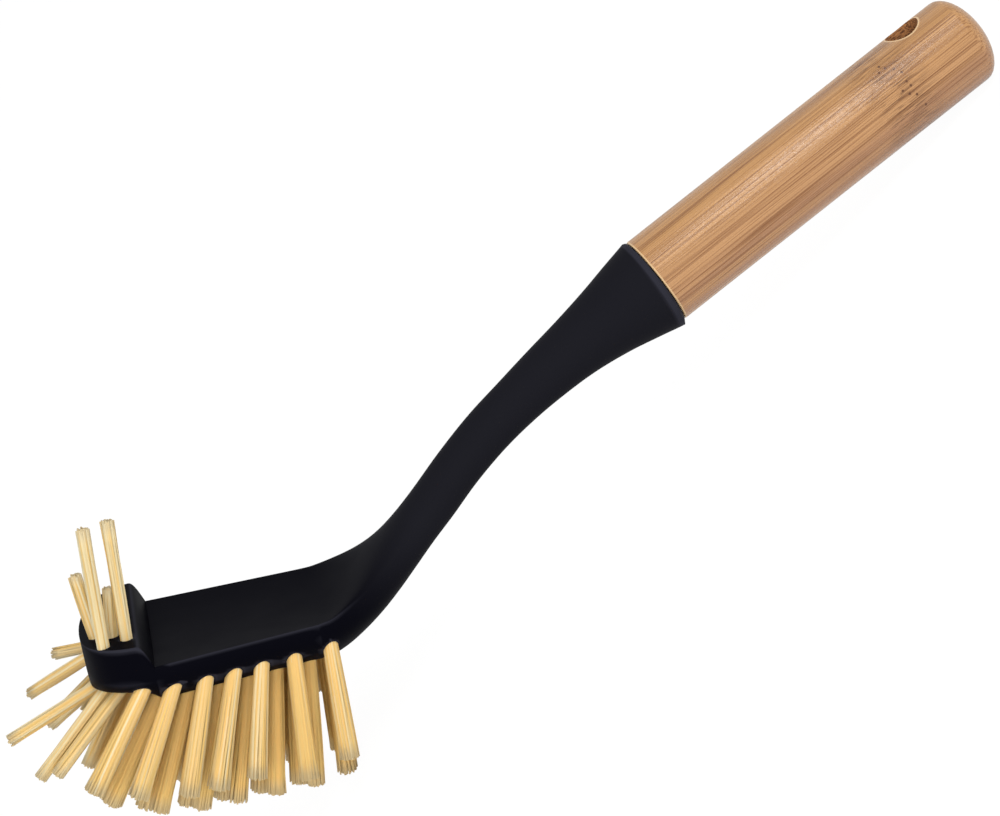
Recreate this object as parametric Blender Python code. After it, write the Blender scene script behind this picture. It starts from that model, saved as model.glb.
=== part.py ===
"""Dish brush: bamboo handle, one black moulding for neck and head, staple-set bristle tufts.

Head frame, in metres: X runs along the deck from the nose's front towards the handle,
Y runs across the head, Z points up from the deck's rim. An empty then pitches the whole
brush into its resting pose, on its hindmost bristle tips and the handle's lower end.
"""

import math

import bmesh
import bpy
import numpy as np
from mathutils import Matrix, Vector

# Head
DECK_START = 0.0154
HEAD_REAR = 0.0520
HEAD_HALF_WIDTH = 0.0216
REAR_HALF_WIDTH = 0.01945
RIM_HEIGHT = 0.0025
RIM_ROUND = 0.0010
DECK_DISH = 0.0014
HEAD_DEPTH = 0.0112
UNDERSIDE_SHARE = 1.8

# Nose block at the front of the head
NOSE_RISE = 0.0054
NOSE_STEP_RUN = 0.0030
NOSE_TIP_DROP = 0.0014
NOSE_LIFT = 0.0044
NOSE_LIFT_SHARE = 5.0
NOSE_ROUND_SHARE = 2.5

# Neck, from the head's rear up to the collar that meets the bamboo
JOINT_RUN = 0.1437
JOINT_RISE = 0.0558
HANDLE_SLOPE = math.radians(27.2)
NECK_RADIUS = 0.0057
COLLAR_RADIUS = 0.0117
COLLAR_DROP = 0.0004

# Tang of the moulding, glued into the bamboo
TANG_RADIUS = 0.0060
TANG_LENGTH = 0.0300
TANG_CHAMFER = 0.0006
COLLAR_ROUND = 0.0006

# Bamboo handle
HANDLE_RADIUS = 0.0110
HANDLE_STRAIGHT = 0.0898
HANDLE_DOME = 0.0053
HANDLE_EDGE_ROUND = 0.0004
HANG_HOLE_RADIUS = 0.00425
HANG_HOLE_FROM_END = 0.0149

# Clearances
SEAT_GAP = 0.0003
SOCKET_GAP = 0.0003
CUT_OVERRUN = 0.0020

# Bristle tufts
TUFT_HOLE_RADIUS = 0.0018
TUFT_HOLE_DEPTH = 0.0035
ROOT_SLICE_HEIGHT = 0.0018
OUTER_TUFT_LENGTH = 0.0260
INNER_TUFT_LENGTH = 0.0296
FAN_TUFT_LENGTH = 0.0240
UPRIGHT_TUFT_LENGTH = 0.0278
FIRST_TUFT_AHEAD = 0.0039
LAST_TUFT_BEHIND = 0.0019
ROW_SET_BACK = 0.0031
OUTER_ROW_INSET = 0.0024
OUTER_ROW_SPLAY = math.radians(8.0)
FRONT_LEAN = math.radians(36.6)
REAR_LEAN = math.radians(1.9)
STRAND_RADIUS = 0.00036
STRAND_TIP_SHARE = 0.8
STRAND_MARGIN = 0.0001
TUFT_SPREAD = 0.0011
STRANDS_PER_TUFT = 8
REST_CUT = 0.0005

# Thinner tufts round and on top of the nose
NOSE_HOLE_RADIUS = 0.0015
NOSE_STRAND_RADIUS = 0.00027
NOSE_TUFT_SPREAD = 0.0005

# Rows under the head from its middle outward, evenly spaced and mirrored; every other one
# from the middle is set back, with one tuft fewer
ROW_NAMES = ("centre", "third", "second", "outer")

# Places of a row's tufts as shares of the row's length
ROW_PLACE_SHARES = (0.0, 0.151, 0.325, 0.476, 0.625, 0.802, 1.0)

# In the outer row and in the rows inside it: forward lean as a share of the way from the
# rear lean to the front lean, and length as a share of the row's
OUTER_LEAN_SHARES = (1.0, 0.79, 0.52, 0.50, 0.35, 0.08, 0.0)
OUTER_LENGTH_SHARES = (0.96, 0.97, 1.0, 1.01, 0.97, 1.07, 0.98)
INNER_LEAN_SHARES = (0.95, 0.65, 0.53, 0.41, 0.27, 0.17, 0.0)
INNER_LENGTH_SHARES = (0.92, 0.97, 1.0, 1.0, 1.0, 1.0, 1.0)

# Fan tufts round the nose: name, root's place back from the front as a share of the nose's
# length and to the right as a share of the half width there, length as a share of the
# longest, lean forward from straight down, turn to the right
FAN_TUFT_SHARES = (
    ("fan_low_left", 0.42, -0.60, 0.95, math.radians(52.0), math.radians(-16.0)),
    ("fan_low_centre", 0.54, 0.03, 0.98, math.radians(35.0), 0.0),
    ("fan_low_right", 0.45, 0.60, 0.95, math.radians(52.0), math.radians(16.0)),
    ("fan_front_left", 0.20, -0.53, 1.0, math.radians(50.0), math.radians(-12.0)),
    ("fan_front_right", 0.28, 0.25, 0.90, math.radians(55.0), math.radians(24.0)),
    ("fan_nose_left", 0.045, -0.34, 0.95, math.radians(68.0), math.radians(3.0)),
    ("fan_nose_right", 0.065, 0.86, 1.0, math.radians(62.0), math.radians(38.0)),
    ("fan_side_right", 0.21, 0.88, 0.78, math.radians(74.0), math.radians(50.0)),
)

# Upright tufts on the nose: name, root's place back and to the right and length as above,
# lean forward from straight up
UPRIGHT_TUFT_SHARES = (
    ("upright_front", 0.36, -0.83, 1.0, math.radians(-2.8)),
    ("upright_rear", 0.69, -0.66, 1.0, math.radians(-3.4)),
    ("upright_inner", 0.25, -0.44, 0.55, math.radians(4.6)),
    ("upright_between", 0.50, -0.51, 0.41, math.radians(-8.0)),
)

# Mesh density
RING_POINTS = 36
RIM_STEPS = 3
NECK_RINGS = 33
HEAD_RINGS = 9
NOSE_RINGS = 8
STEP_RINGS = 3
HANDLE_SEGMENTS = 40
DOME_RINGS = 6
HOLE_SEGMENTS = 8
STRAND_SIDES = 3
SMOOTH_ANGLE = math.radians(32.0)

# Steps in which the resting pitch is found
PITCH_STEPS = 20

# Neck stations between the head's rear and the collar: share of the run and of the rise,
# half width and half height as shares of the neck's radius, and how much of the head's
# section is left
NECK_STATION_SHARES = (
    (0.033, 0.006, 3.32, 1.20, 0.97),
    (0.065, 0.024, 3.18, 1.18, 0.88),
    (0.103, 0.055, 2.96, 1.12, 0.74),
    (0.147, 0.097, 2.63, 1.05, 0.56),
    (0.196, 0.152, 2.12, 1.01, 0.35),
    (0.245, 0.213, 1.67, 0.97, 0.17),
    (0.299, 0.285, 1.32, 0.95, 0.05),
    (0.358, 0.365, 1.12, 0.97, 0.0),
    (0.434, 0.474, 1.05, 0.98, 0.0),
    (0.520, 0.582, 1.05, 1.01, 0.0),
    (0.606, 0.672, 1.09, 1.05, 0.0),
    (0.692, 0.754, 1.19, 1.15, 0.0),
    (0.778, 0.829, 1.33, 1.29, 0.0),
    (0.864, 0.898, 1.55, 1.53, 0.0),
    (0.940, 0.956, 1.83, 1.82, 0.0),
)


def clear_scene():
    for item in list(bpy.data.objects):
        bpy.data.objects.remove(item, do_unlink=True)


def principled(name, colour, roughness, metallic=0.0):
    material = bpy.data.materials.new(name)
    material.use_nodes = True
    shader = material.node_tree.nodes["Principled BSDF"]
    shader.inputs["Base Color"].default_value = (*colour, 1.0)
    shader.inputs["Roughness"].default_value = roughness
    shader.inputs["Metallic"].default_value = metallic
    return material


def bamboo_material():
    return principled("bamboo", (0.62, 0.33, 0.13), 0.42)


def moulding_material():
    return principled("black_moulding", (0.010, 0.010, 0.014), 0.45)


def bristle_material():
    return principled("bristle", (0.78, 0.53, 0.20), 0.50)


def add_object(name, bm, material):
    bmesh.ops.recalc_face_normals(bm, faces=bm.faces)
    mesh = bpy.data.meshes.new(name)
    bm.to_mesh(mesh)
    bm.free()
    mesh.shade_smooth()
    mesh.set_sharp_from_angle(angle=SMOOTH_ANGLE)
    mesh.materials.append(material)
    item = bpy.data.objects.new(name, mesh)
    bpy.context.scene.collection.objects.link(item)
    return item


def add_cutter(name, bm, target):
    cutter = add_object(name, bm, target.data.materials[0])
    cutter.hide_render = True
    cutter.display_type = "WIRE"
    cut = target.modifiers.new(name, "BOOLEAN")
    cut.operation = "DIFFERENCE"
    cut.solver = "EXACT"
    cut.object = cutter
    return cutter


def loft(rings):
    """Closed skin over rings of equally many points, with flat ends."""
    bm = bmesh.new()
    skin = [[bm.verts.new(point) for point in ring] for ring in rings]
    for near, far in zip(skin, skin[1:]):
        for i in range(len(near)):
            j = (i + 1) % len(near)
            bm.faces.new((near[i], near[j], far[j], far[i]))
    bm.faces.new(skin[0])
    bm.faces.new(reversed(skin[-1]))
    return bm


def smooth_table(stations, count):
    """Rows evenly spaced along a table of stations, on a smooth curve through them."""
    table = np.array(stations)
    knots = np.arange(len(table))
    slopes = np.gradient(table, axis=0)
    rows = []
    for place in np.linspace(knots[0], knots[-1], count):
        k = min(int(place), len(table) - 2)
        t = place - k
        step = table[k + 1] - table[k]
        blend = t * t * (3.0 - 2.0 * t)
        lead = t * (1.0 - t) ** 2
        lag = t * t * (1.0 - t)
        rows.append(table[k] + blend * step + lead * slopes[k] - lag * slopes[k + 1])
    return rows


def power(value, exponent):
    return math.copysign(abs(value) ** exponent, value)


def head_section(half_width, rise, dish, depth):
    """Head's outline across Y and Z: rounded rim, dished deck above, crowned underside."""
    points = []
    wall = half_width - RIM_ROUND
    for i in range(RIM_STEPS):
        angle = math.pi / 2.0 * i / RIM_STEPS
        up = (RIM_HEIGHT + rise) * math.sin(angle)
        points.append((wall + RIM_ROUND * math.cos(angle), up - RIM_HEIGHT))
    deck_steps = RING_POINTS // 2 - 2 * RIM_STEPS
    for i in range(deck_steps + 1):
        across = math.cos(math.pi * i / deck_steps)
        points.append((wall * across, rise - dish * (1.0 - across ** 2)))
    points.extend((-y, z) for y, z in reversed(points[:RIM_STEPS]))
    for i in range(1, RING_POINTS // 2):
        angle = math.pi * i / (RING_POINTS // 2)
        y = -half_width * power(math.cos(angle), 2.0 / UNDERSIDE_SHARE)
        points.append((y, -RIM_HEIGHT - depth * power(math.sin(angle), 2.0 / UNDERSIDE_SHARE)))
    return points


def round_section(half_width, half_height):
    points = []
    for i in range(RING_POINTS):
        angle = math.tau * i / RING_POINTS
        points.append((half_width * math.cos(angle), half_height * math.sin(angle)))
    return points


def half_width_at(x):
    """Half width of the rounded nose, and of the head, which narrows evenly to its rear."""
    if x < DECK_START:
        reach = (DECK_START - x) / DECK_START
        return HEAD_HALF_WIDTH * (1.0 - reach ** NOSE_ROUND_SHARE) ** (1.0 / NOSE_ROUND_SHARE)
    back = (x - DECK_START) / (HEAD_REAR - DECK_START)
    return HEAD_HALF_WIDTH + (REAR_HALF_WIDTH - HEAD_HALF_WIDTH) * back


def depth_at(x):
    """Depth of the underside's crown, which rises under the nose."""
    forward = 1.0 - (min(x, DECK_START) / DECK_START) ** NOSE_LIFT_SHARE
    return HEAD_DEPTH - NOSE_LIFT * forward


def nose_rise(x):
    """Height of the nose's top above the rim: its step, its flat and its drop to the front."""
    step = min((DECK_START - x) / NOSE_STEP_RUN, 1.0)
    reach = (DECK_START - x) / DECK_START
    return NOSE_RISE * math.sin(step * math.pi / 2.0) - NOSE_TIP_DROP * reach ** 4


def nose_rings():
    """From the nose's rounded front back to the foot of its step."""
    flat_end = DECK_START - NOSE_STEP_RUN
    places = []
    for i in range(NOSE_RINGS):
        turn = (NOSE_RINGS - i) / (NOSE_RINGS + 1)
        places.append(flat_end * (1.0 - math.sin(turn * math.pi / 2.0)))
    for i in range(STEP_RINGS):
        places.append(flat_end + NOSE_STEP_RUN * i / STEP_RINGS)
    rings = []
    for x in places:
        section = head_section(half_width_at(x), nose_rise(x), 0.0, depth_at(x))
        rings.append([Vector((x, y, z)) for y, z in section])
    return rings


def deck_rings():
    rings = []
    for i in range(HEAD_RINGS):
        x = DECK_START + (HEAD_REAR - DECK_START) * i / (HEAD_RINGS - 1)
        section = head_section(half_width_at(x), 0.0, DECK_DISH, HEAD_DEPTH)
        rings.append([Vector((x, y, z)) for y, z in section])
    return rings


def neck_stations():
    """Spine's X and Z, half width, half height and head share, from head to collar."""
    half_height = (HEAD_DEPTH + RIM_HEIGHT) / 2.0
    start = (HEAD_REAR, -half_height, REAR_HALF_WIDTH, half_height, 1.0)
    collar = joint_centre() - handle_up() * COLLAR_DROP
    end = (collar.x, collar.z, COLLAR_RADIUS, COLLAR_RADIUS, 0.0)
    run, rise = end[0] - start[0], end[1] - start[1]
    middle = []
    for run_share, rise_share, width_share, height_share, head_share in NECK_STATION_SHARES:
        middle.append((
            start[0] + run * run_share,
            start[1] + rise * rise_share,
            NECK_RADIUS * width_share,
            NECK_RADIUS * height_share,
            head_share,
        ))
    return [start, *middle, end]


def spine_slope(rows, index):
    before = rows[max(index - 1, 0)]
    after = rows[min(index + 1, len(rows) - 1)]
    return math.atan2(after[1] - before[1], after[0] - before[0])


def neck_rings():
    """Head's section, which turns into a round one square to the neck's spine."""
    rows = smooth_table(neck_stations(), NECK_RINGS)
    rings = []
    for index, (x, z, half_width, half_height, head_share) in enumerate(rows):
        if index == 0:
            continue
        slope = spine_slope(rows, index) if index < len(rows) - 1 else HANDLE_SLOPE
        slope *= 1.0 - head_share ** 2
        up = Vector((-math.sin(slope), 0.0, math.cos(slope)))
        centre = Vector((x, 0.0, z))
        flat = head_section(half_width, 0.0, DECK_DISH, 2.0 * half_height - RIM_HEIGHT)
        ring = []
        for round_point, (flat_y, flat_z) in zip(round_section(half_width, half_height), flat):
            flat_point = Vector((flat_y, flat_z + half_height))
            y, height = Vector(round_point).lerp(flat_point, head_share)
            ring.append(centre + up * height + Vector((0.0, y, 0.0)))
        rings.append(ring)
    return rings


def handle_axis():
    return Vector((math.cos(HANDLE_SLOPE), 0.0, math.sin(HANDLE_SLOPE)))


def handle_up():
    return Vector((-math.sin(HANDLE_SLOPE), 0.0, math.cos(HANDLE_SLOPE)))


def joint_centre():
    return Vector((JOINT_RUN, 0.0, JOINT_RISE))


def axis_ring(along, radius):
    """Ring round the handle's axis, at a distance from the joint."""
    centre = joint_centre() + handle_axis() * along
    return [centre + handle_up() * z + Vector((0.0, y, 0.0)) for y, z in round_section(radius, radius)]


def tang_rings():
    return [
        axis_ring(COLLAR_ROUND, COLLAR_RADIUS - COLLAR_ROUND),
        axis_ring(COLLAR_ROUND, TANG_RADIUS),
        axis_ring(COLLAR_ROUND + TANG_LENGTH - TANG_CHAMFER, TANG_RADIUS),
        axis_ring(COLLAR_ROUND + TANG_LENGTH, TANG_RADIUS - TANG_CHAMFER),
    ]


def build_moulding(material):
    rings = [*nose_rings(), *deck_rings(), *neck_rings(), *tang_rings()]
    return add_object("moulded_neck_and_head", loft(rings), material)


def add_cylinder(bm, radius, start, end, segments):
    """Closed cylinder between two points."""
    axis = end - start
    turn = axis.to_track_quat("Z", "Y").to_matrix().to_4x4()
    bmesh.ops.create_cone(
        bm,
        cap_ends=True,
        segments=segments,
        radius1=radius,
        radius2=radius,
        depth=axis.length,
        matrix=Matrix.Translation((start + end) / 2.0) @ turn,
    )


def build_handle(material):
    """Turned bamboo along its own X, from the collar to the domed end."""
    start = COLLAR_ROUND + SEAT_GAP
    profile = [
        (start, HANDLE_RADIUS - HANDLE_EDGE_ROUND),
        (start + HANDLE_EDGE_ROUND, HANDLE_RADIUS),
        (HANDLE_STRAIGHT, HANDLE_RADIUS),
    ]
    for i in range(1, DOME_RINGS):
        turn = math.pi / 2.0 * i / DOME_RINGS
        along = HANDLE_STRAIGHT + HANDLE_DOME * math.sin(turn)
        profile.append((along, HANDLE_RADIUS * math.cos(turn)))
    rings = []
    for along, radius in profile:
        ring = []
        for i in range(HANDLE_SEGMENTS):
            angle = math.tau * i / HANDLE_SEGMENTS
            ring.append(Vector((along, radius * math.cos(angle), radius * math.sin(angle))))
        rings.append(ring)
    handle = add_object("bamboo_handle", loft(rings), material)
    handle.location = joint_centre()
    handle.rotation_euler = (0.0, -HANDLE_SLOPE, 0.0)
    return handle


def cut_handle(handle):
    """Blind socket for the tang, and the hang hole through the far end."""
    bm = bmesh.new()
    socket_end = COLLAR_ROUND + TANG_LENGTH + SEAT_GAP
    add_cylinder(
        bm,
        TANG_RADIUS + SOCKET_GAP,
        Vector((-CUT_OVERRUN, 0.0, 0.0)),
        Vector((socket_end, 0.0, 0.0)),
        HANDLE_SEGMENTS,
    )
    hole = HANDLE_STRAIGHT + HANDLE_DOME - HANG_HOLE_FROM_END
    reach = HANDLE_RADIUS + CUT_OVERRUN
    add_cylinder(
        bm,
        HANG_HOLE_RADIUS,
        Vector((hole, 0.0, -reach)),
        Vector((hole, 0.0, reach)),
        HANDLE_SEGMENTS,
    )
    cutter = add_cutter("handle_cuts", bm, handle)
    cutter.location = handle.location
    cutter.rotation_euler = handle.rotation_euler
    return cutter


def underside(x, y):
    """Height of the head's underside above the rim's crest."""
    fall = 1.0 - abs(y / half_width_at(x)) ** UNDERSIDE_SHARE
    return -RIM_HEIGHT - depth_at(x) * fall ** (1.0 / UNDERSIDE_SHARE)


def row_places(set_back):
    """X of each tuft's root in a row."""
    first = DECK_START - FIRST_TUFT_AHEAD
    last = HEAD_REAR + LAST_TUFT_BEHIND
    places = [first + (last - first) * share for share in ROW_PLACE_SHARES]
    if set_back:
        return [x + ROW_SET_BACK for x in places[:-1]]
    return places


def row_bundle():
    """Radius of the hole and of a strand, and how far a tuft spreads, in the rows."""
    return TUFT_HOLE_RADIUS, STRAND_RADIUS, TUFT_SPREAD


def nose_bundle():
    """The same for the tufts of the nose."""
    return NOSE_HOLE_RADIUS, NOSE_STRAND_RADIUS, NOSE_TUFT_SPREAD


def row_tufts():
    """Name, root, direction, length and bundle of every tuft in the rows under the head."""
    tufts = []
    for row, name in enumerate(ROW_NAMES):
        share = row / (len(ROW_NAMES) - 1)
        inner = row < len(ROW_NAMES) - 1
        splay = OUTER_ROW_SPLAY * share ** 2
        lean_shares = INNER_LEAN_SHARES if inner else OUTER_LEAN_SHARES
        length_shares = INNER_LENGTH_SHARES if inner else OUTER_LENGTH_SHARES
        longest = INNER_TUFT_LENGTH if inner else OUTER_TUFT_LENGTH
        sides = (("left", -1.0), ("right", 1.0)) if row else (("", 1.0),)
        for side, sign in sides:
            for i, x in enumerate(row_places(set_back=row % 2 == 0)):
                y = (half_width_at(x) - OUTER_ROW_INSET) * share
                lean = REAR_LEAN + (FRONT_LEAN - REAR_LEAN) * lean_shares[i]
                length = longest * length_shares[i]
                root = Vector((x, sign * y, underside(x, y)))
                direction = Vector((
                    -math.sin(lean),
                    sign * math.sin(splay) * math.cos(lean),
                    -math.cos(splay) * math.cos(lean),
                ))
                words = ["tuft", name, side, str(i + 1)]
                label = "_".join(word for word in words if word)
                tufts.append((label, root, direction, length, row_bundle()))
    return tufts


def nose_tufts():
    """Name, root, direction, length and bundle of the fan and the upright tufts on the nose."""
    tufts = []
    for name, back, across, length_share, lean, turn in FAN_TUFT_SHARES:
        x = DECK_START * back
        y = half_width_at(x) * across
        root = Vector((x, y, underside(x, y)))
        direction = Vector((
            -math.sin(lean) * math.cos(turn),
            math.sin(lean) * math.sin(turn),
            -math.cos(lean),
        ))
        length = FAN_TUFT_LENGTH * length_share
        tufts.append((f"tuft_{name}", root, direction, length, nose_bundle()))
    for name, back, across, length_share, lean in UPRIGHT_TUFT_SHARES:
        x = DECK_START * back
        y = half_width_at(x) * across
        root = Vector((x, y, nose_rise(x)))
        direction = Vector((-math.sin(lean), 0.0, math.cos(lean)))
        length = UPRIGHT_TUFT_LENGTH * length_share
        tufts.append((f"tuft_{name}", root, direction, length, nose_bundle()))
    return tufts


def cut_tuft_holes(moulding, tufts):
    bm = bmesh.new()
    for name, root, direction, length, bundle in tufts:
        start = root - direction * TUFT_HOLE_DEPTH
        end = root + direction * CUT_OVERRUN
        add_cylinder(bm, bundle[0], start, end, HOLE_SEGMENTS)
    return add_cutter("tuft_holes", bm, moulding)


def strand_places(hole_radius, strand_radius, spread):
    """One strand on the tuft's axis and the rest evenly round it, and how far each spreads."""
    slice_flat = (hole_radius - SEAT_GAP) * math.cos(math.pi / HOLE_SEGMENTS)
    ring_radius = slice_flat - STRAND_MARGIN - strand_radius
    places = [(Vector((0.0, 0.0, 0.0)), Vector((0.0, 0.0, 0.0)))]
    for i in range(1, STRANDS_PER_TUFT):
        angle = math.tau * i / (STRANDS_PER_TUFT - 1)
        out = Vector((math.cos(angle), math.sin(angle), 0.0))
        places.append((out * ring_radius, out * spread))
    return places


def build_tuft(name, root, direction, length, bundle, material):
    """Strands standing on a round slice of backing at the bottom of their hole."""
    hole_radius, strand_radius = bundle[:2]
    bm = bmesh.new()
    bottom = -(TUFT_HOLE_DEPTH - SEAT_GAP)
    top = bottom + ROOT_SLICE_HEIGHT
    slice_radius = hole_radius - SEAT_GAP
    low_ring = []
    high_ring = []
    for i in range(HOLE_SEGMENTS):
        angle = math.tau * i / HOLE_SEGMENTS
        x, y = slice_radius * math.cos(angle), slice_radius * math.sin(angle)
        low_ring.append(bm.verts.new((x, y, bottom)))
        high_ring.append(bm.verts.new((x, y, top)))
    bm.faces.new(reversed(low_ring))
    rim = []
    for i in range(HOLE_SEGMENTS):
        j = (i + 1) % HOLE_SEGMENTS
        bm.faces.new((low_ring[i], low_ring[j], high_ring[j], high_ring[i]))
        rim.append(bm.edges.get((high_ring[i], high_ring[j])))
    for place, outward in strand_places(*bundle):
        foot = place + Vector((0.0, 0.0, top))
        end = place + outward + Vector((0.0, 0.0, length))
        base = []
        tip = []
        for k in range(STRAND_SIDES):
            angle = math.tau * k / STRAND_SIDES
            corner = Vector((math.cos(angle), math.sin(angle), 0.0)) * strand_radius
            base.append(bm.verts.new(foot + corner))
            tip.append(bm.verts.new(end + corner * STRAND_TIP_SHARE))
        for k in range(STRAND_SIDES):
            m = (k + 1) % STRAND_SIDES
            bm.faces.new((base[k], base[m], tip[m], tip[k]))
            rim.append(bm.edges.get((base[k], base[m])))
        bm.faces.new(tip)
    bmesh.ops.triangle_fill(bm, use_beauty=True, edges=rim)
    tuft = add_object(name, bm, material)
    tuft.location = root
    tuft.rotation_mode = "QUATERNION"
    tuft.rotation_quaternion = direction.to_track_quat("Z", "Y")
    return tuft


def world_points(items):
    """Every corner of the pieces, as they stand in the head frame."""
    bpy.context.view_layer.update()
    return np.array([item.matrix_world @ vertex.co for item in items for vertex in item.data.vertices])


def pitched(points, pitch):
    """X and Z of the points once the head frame is pitched."""
    x = points[:, 0] * math.cos(pitch) + points[:, 2] * math.sin(pitch)
    z = points[:, 2] * math.cos(pitch) - points[:, 0] * math.sin(pitch)
    return x, z


def resting_pose(tufts, handle, moulding):
    """Pitch at which bristle tips and handle stand level, and the place that this takes."""
    tips, end = world_points(tufts), world_points([handle])
    pitch = HANDLE_SLOPE
    for step in range(PITCH_STEPS):
        tip_x, tip_z = pitched(tips, pitch)
        end_x, end_z = pitched(end, pitch)
        low_tip, low_end = np.argmin(tip_z), np.argmin(end_z)
        rise = end_z[low_end] - tip_z[low_tip] - REST_CUT
        pitch += math.atan2(rise, end_x[low_end] - tip_x[low_tip])
    every = np.vstack((tips, end, world_points([moulding])))
    every_x = pitched(every, pitch)[0]
    middle_x = (every_x.min() + every_x.max()) / 2.0
    middle_y = (every[:, 1].min() + every[:, 1].max()) / 2.0
    return pitch, Vector((-middle_x, -middle_y, -pitched(end, pitch)[1].min()))


def cut_at_rest(tuft):
    """Cut the strands flat where the brush stands on them."""
    to_local = tuft.matrix_world.inverted()
    level = to_local @ Vector((0.0, 0.0, 0.0))
    down = (to_local.to_3x3() @ Vector((0.0, 0.0, -1.0))).normalized()
    if all((vertex.co - level).dot(down) <= 0.0 for vertex in tuft.data.vertices):
        return
    bm = bmesh.new()
    bm.from_mesh(tuft.data)
    geometry = [*bm.verts, *bm.edges, *bm.faces]
    bmesh.ops.bisect_plane(bm, geom=geometry, plane_co=level, plane_no=down, clear_outer=True)
    open_edges = [edge for edge in bm.edges if edge.is_boundary]
    bmesh.ops.holes_fill(bm, edges=open_edges)
    bmesh.ops.recalc_face_normals(bm, faces=bm.faces)
    bm.to_mesh(tuft.data)
    bm.free()


def build_brush():
    clear_scene()
    moulding = build_moulding(moulding_material())
    handle = build_handle(bamboo_material())
    handle_cuts = cut_handle(handle)
    layout = [*row_tufts(), *nose_tufts()]
    holes = cut_tuft_holes(moulding, layout)
    bristle = bristle_material()
    tufts = [build_tuft(*entry, bristle) for entry in layout]

    pitch, place = resting_pose(tufts, handle, moulding)
    rest = bpy.data.objects.new("resting_pose", None)
    bpy.context.scene.collection.objects.link(rest)
    rest.rotation_euler = (0.0, pitch, 0.0)
    rest.location = place
    for item in (moulding, handle, handle_cuts, holes, *tufts):
        item.parent = rest
    bpy.context.view_layer.update()
    for tuft in tufts:
        cut_at_rest(tuft)


build_brush()
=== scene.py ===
"""Dish brush: turned bamboo handle, black moulded neck and head, straw-coloured bristle tufts."""

import math
import random

import bmesh
import bpy
import numpy as np
from mathutils import Euler, Matrix, Vector


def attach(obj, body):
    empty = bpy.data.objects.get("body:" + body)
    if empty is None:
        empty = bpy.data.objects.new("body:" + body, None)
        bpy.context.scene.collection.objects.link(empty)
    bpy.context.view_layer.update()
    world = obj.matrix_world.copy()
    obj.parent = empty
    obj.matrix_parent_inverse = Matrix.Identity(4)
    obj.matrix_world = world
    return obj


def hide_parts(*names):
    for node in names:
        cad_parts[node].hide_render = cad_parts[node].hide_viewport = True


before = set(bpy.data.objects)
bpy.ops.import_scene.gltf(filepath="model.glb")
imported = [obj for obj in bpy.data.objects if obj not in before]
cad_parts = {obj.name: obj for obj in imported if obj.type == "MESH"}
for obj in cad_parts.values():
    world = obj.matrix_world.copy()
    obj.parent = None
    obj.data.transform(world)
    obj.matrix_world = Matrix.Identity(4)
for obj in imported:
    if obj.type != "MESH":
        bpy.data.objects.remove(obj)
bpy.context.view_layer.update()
MM = 0.001

# The brush rests on its bristles and its handle's end. Its sizes are taken in the head's own
# frame, with X along the deck from the nose, Y across and Z up from the deck's rim, and this
# turn and place put the head where it rests.
REST_PITCH = math.radians(36.6677)
REST_PLACE = Vector((-0.107823, -0.002059, 0.066677))
resting = Matrix.Translation(REST_PLACE) @ Matrix.Rotation(REST_PITCH, 4, "Y")

# The camera looks a little down on the near side of the head, from a forearm's length away,
# and is rolled so that the handle rises to the upper right.
camera_data = bpy.data.cameras.new("camera")
camera_data.lens = 72.0
camera_data.sensor_width = 36.0
camera_data.clip_start = 10.0 * MM
camera = bpy.data.objects.new("camera", camera_data)
camera.location = (0.016722, -0.434859, 0.186106)
camera.rotation_euler = Euler([math.radians(a) for a in (61.984, 44.574, -17.730)])
bpy.context.scene.collection.objects.link(camera)
bpy.context.scene.camera = camera

# Bamboo handle
# A bamboo rod, turned round, domed at its far end, drilled across for the hang hole and
# drilled up its near end for the moulding's tang, then given a satin varnish.
JOINT = Vector((143.7 * MM, 0.0, 55.8 * MM))
HANDLE_SLOPE = math.radians(27.2)
HANDLE_RADIUS = 11.0 * MM
HANDLE_START = 0.9 * MM
HANDLE_STRAIGHT = 89.8 * MM
HANDLE_DOME = 5.3 * MM
HANDLE_EDGE = 0.4 * MM
HOLE_RADIUS = 4.25 * MM
HOLE_PLACE = 80.2 * MM
HOLE_EDGE = 0.35 * MM
HOLE_EDGE_STEPS = 3
SOCKET_RADIUS = 6.3 * MM
SOCKET_DEPTH = 30.9 * MM
TURNED_STEPS = 128
ARC_STEPS = 10
WELD = 0.01 * MM
DRILL_OVERRUN = 2.2 * MM
MOUTH_MARGIN = 0.085 * MM
MOUTH_ANGLE = math.radians(40.0)
WALL_TILT = 0.2
HANDLE_SHARP_ANGLE = math.radians(50.0)
handle_place = resting @ Matrix.Translation(JOINT) @ Matrix.Rotation(-HANDLE_SLOPE, 4, "Y")


def new_piece(name, bm, *materials):
    """An object of the finished mesh, shaded smooth, in its place at rest."""
    mesh = bpy.data.meshes.new(name)
    bm.to_mesh(mesh)
    bm.free()
    mesh.shade_smooth()
    for material in materials:
        mesh.materials.append(material)
    piece = bpy.data.objects.new(name, mesh)
    bpy.context.scene.collection.objects.link(piece)
    return piece


def drilled(bm, drills):
    """The mesh with its drills cut out."""
    body = new_piece("body", bm)
    tool = new_piece("drills", drills)
    cut = body.modifiers.new("cut", "BOOLEAN")
    cut.operation = "DIFFERENCE"
    cut.solver = "EXACT"
    cut.object = tool
    shown = body.evaluated_get(bpy.context.evaluated_depsgraph_get())
    result = bmesh.new()
    result.from_mesh(shown.to_mesh())
    shown.to_mesh_clear()
    for used in (body, tool):
        bpy.data.objects.remove(used)
    return result


def add_drill(bm, radius, start, end, segments):
    """A closed cylinder between two points."""
    axis = end - start
    turn = axis.to_track_quat("Z", "Y").to_matrix().to_4x4()
    bmesh.ops.create_cone(
        bm,
        cap_ends=True,
        segments=segments,
        radius1=radius,
        radius2=radius,
        depth=axis.length,
        matrix=Matrix.Translation((start + end) / 2.0) @ turn,
    )


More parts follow.
